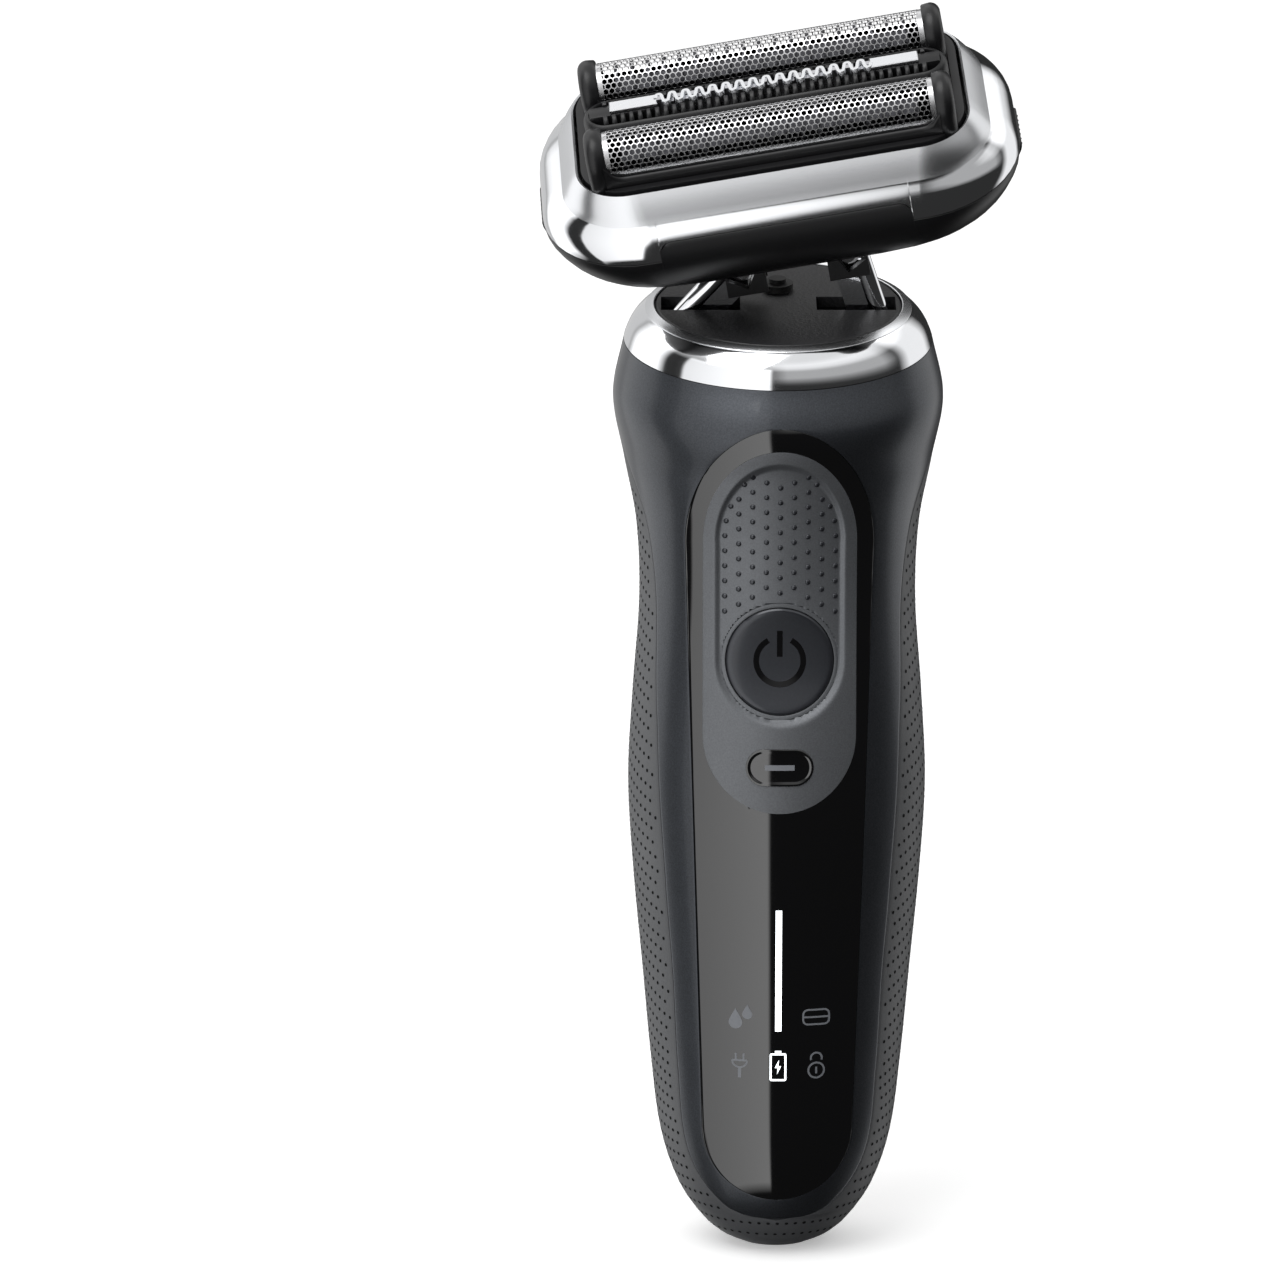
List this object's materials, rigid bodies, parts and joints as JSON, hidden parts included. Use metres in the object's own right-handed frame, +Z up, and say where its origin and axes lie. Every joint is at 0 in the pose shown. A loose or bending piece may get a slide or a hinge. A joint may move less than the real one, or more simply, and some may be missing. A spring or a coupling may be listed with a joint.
{
  "type": "foil shaver",
  "caption": "Hand-held foil shaver with a swivelling chrome-framed head, floating foils, middle trimmer, grip pad and display.",
  "frame": {"origin": "lowest point of the handle, at the mouth of the charging socket", "axes": "+X to the right seen from the front, -Y to the front with the display, +Z up along the handle to the head"},
  "size_m": [0.0609, 0.0419, 0.1627],
  "materials": {
    "metal_shell": "fine dark metallic, satin",
    "rear_plastic": "satin",
    "grip_rubber": "soft matte with small dimples",
    "gloss_panel": "piano black gloss",
    "pad_grey": "matte with raised dots",
    "button_dark": "satin gloss",
    "light_window": "translucent white",
    "black_plastic": "fine grain",
    "chrome": "polished",
    "foil_steel": "perforated",
    "steel": "satin",
    "screw_steel": "machined",
    "board_green": "solder mask",
    "chip_black": "moulded",
    "cell_wrap": "shrink wrap",
    "copper": "enamelled wire",
    "gold_contact": "plated",
    "bearing_plastic": "plain bearing plastic",
    "seal_rubber": "soft"
  },
  "bodies": {
    "handle": {"front_shell": "metal_shell", "back_shell": "rear_plastic", "side_grip": "grip_rubber", "display_panel": "gloss_panel", "thumb_pad": "pad_grey", "pill_inlay": "gloss_panel", "charge_bar": "light_window", "status_icons": "light_window", "inner_chassis": "black_plastic", "chassis_screws": "screw_steel", "battery_cell": "cell_wrap", "battery_tabs": "steel", "main_board": "board_green", "board_parts": "chip_black", "display_board": "board_green", "board_spacers": "bearing_plastic", "tact_switch": "chip_black", "display_lights": "light_window", "charge_socket": "black_plastic", "socket_pins": "gold_contact", "socket_seal": "seal_rubber", "rear_contacts": "gold_contact", "neck_ring": "chrome", "neck_disc": "black_plastic", "neck_seal": "seal_rubber", "neck_bracket": "black_plastic", "neck_grommet": "seal_rubber", "motor_cable": "seal_rubber", "cable_plug": "bearing_plastic", "arm_pivot_pins": "steel"},
    "power_button": {"power_button": "button_dark"},
    "arm_left": {"arm_left": "chrome"},
    "arm_right": {"arm_right": "chrome"},
    "cradle": {"cradle_yoke": "black_plastic", "trunnion_pins": "steel"},
    "head": {"head_base": "black_plastic", "chrome_frame": "chrome", "trunnion_bushes": "bearing_plastic", "head_deck": "black_plastic", "deck_screws": "screw_steel", "motor_plate": "steel", "motor_stator": "steel", "motor_coil": "copper", "leaf_springs": "steel"},
    "release_left": {"release_left": "black_plastic"},
    "release_right": {"release_right": "black_plastic"},
    "drive_front": {"drive_carrier_front": "bearing_plastic", "drive_magnets_front": "steel"},
    "drive_back": {"drive_carrier_back": "bearing_plastic", "drive_magnets_back": "steel"},
    "cutter_front": {"inner_cutter_front": "steel"},
    "cutter_back": {"inner_cutter_back": "steel"},
    "cassette": {"cassette_frame": "black_plastic"},
    "foil_front_unit": {"foil_frame_front": "black_plastic", "foil_front": "foil_steel"},
    "foil_back_unit": {"foil_frame_back": "black_plastic", "foil_back": "foil_steel"},
    "trimmer_unit": {"comb_frame": "black_plastic", "trimmer_comb": "foil_steel"},
    "trimmer_blade": {"trimmer_blade": "steel"}
  },
  "joints": [
    {"name": "head_roll", "type": "hinge", "parent": "handle", "child": "cradle", "pos_m": [0, -0.00414, 0.14193], "axis": [0, -0.9744, -0.225], "range_deg": [-25, 5], "stiffness_Nm_per_rad": 0.4},
    {"name": "arm_left_swing", "type": "hinge", "parent": "handle", "child": "arm_left", "pos_m": [-0.0123, 0.00067, 0.12108], "axis": [0, -0.9744, -0.225], "range_deg": [-6.5, 30]},
    {"name": "arm_right_swing", "type": "hinge", "parent": "handle", "child": "arm_right", "pos_m": [0.0123, 0.00067, 0.12108], "axis": [0, -0.9744, -0.225], "range_deg": [-6.5, 30]},
    {"name": "head_pitch", "type": "hinge", "parent": "cradle", "child": "head", "pos_m": [0, -0.00414, 0.14193], "axis": [0.9848, -0.0391, 0.1692], "range_deg": [-41, 3], "stiffness_Nm_per_rad": 0.4},
    {"name": "cassette_lift", "type": "slide", "parent": "head", "child": "cassette", "axis": [-0.1642, -0.5267, 0.8341], "range_m": [0, 0.02]},
    {"name": "foil_front_float", "type": "slide", "parent": "cassette", "child": "foil_front_unit", "axis": [-0.1642, -0.5267, 0.8341], "range_m": [-0.0012, 0], "stiffness_N_per_m": 500},
    {"name": "foil_back_float", "type": "slide", "parent": "cassette", "child": "foil_back_unit", "axis": [-0.1642, -0.5267, 0.8341], "range_m": [-0.0012, 0], "stiffness_N_per_m": 500},
    {"name": "trimmer_float", "type": "slide", "parent": "cassette", "child": "trimmer_unit", "axis": [-0.1642, -0.5267, 0.8341], "range_m": [-0.0012, 0], "stiffness_N_per_m": 500},
    {"name": "drive_front_swing", "type": "slide", "parent": "head", "child": "drive_front", "axis": [0.9848, -0.0391, 0.1692], "range_m": [-0.0012, 0.0012], "stiffness_N_per_m": 1000},
    {"name": "drive_back_swing", "type": "slide", "parent": "head", "child": "drive_back", "axis": [0.9848, -0.0391, 0.1692], "range_m": [-0.0012, 0.0012]},
    {"name": "trimmer_blade_swing", "type": "slide", "parent": "trimmer_unit", "child": "trimmer_blade", "axis": [0.9848, -0.0391, 0.1692], "range_m": [-0.0012, 0.0012]},
    {"name": "cutter_front_float", "type": "slide", "parent": "drive_front", "child": "cutter_front", "axis": [-0.1642, -0.5267, 0.8341], "range_m": [-0.0012, 0]},
    {"name": "cutter_back_float", "type": "slide", "parent": "drive_back", "child": "cutter_back", "axis": [-0.1642, -0.5267, 0.8341], "range_m": [-0.0012, 0]},
    {"name": "power_button_press", "type": "slide", "parent": "handle", "child": "power_button", "axis": [0, 1, 0], "range_m": [0, 0.0004], "stiffness_N_per_m": 2500},
    {"name": "release_left_press", "type": "slide", "parent": "head", "child": "release_left", "axis": [0.9848, -0.0391, 0.1692], "range_m": [0, 0.001], "stiffness_N_per_m": 1500},
    {"name": "release_right_press", "type": "slide", "parent": "head", "child": "release_right", "axis": [-0.9848, 0.0391, -0.1692], "range_m": [0, 0.001], "stiffness_N_per_m": 1500}
  ],
  "couplings": [
    {"joint": "arm_left_swing", "follows": "head_roll", "ratio": -1.1616},
    {"joint": "arm_right_swing", "follows": "head_roll", "ratio": -1.1616},
    {"joint": "drive_back_swing", "follows": "drive_front_swing", "ratio": -1},
    {"joint": "trimmer_blade_swing", "follows": "drive_front_swing", "ratio": 1},
    {"joint": "cutter_front_float", "follows": "foil_front_float", "ratio": 1},
    {"joint": "cutter_back_float", "follows": "foil_back_float", "ratio": 1}
  ]
}
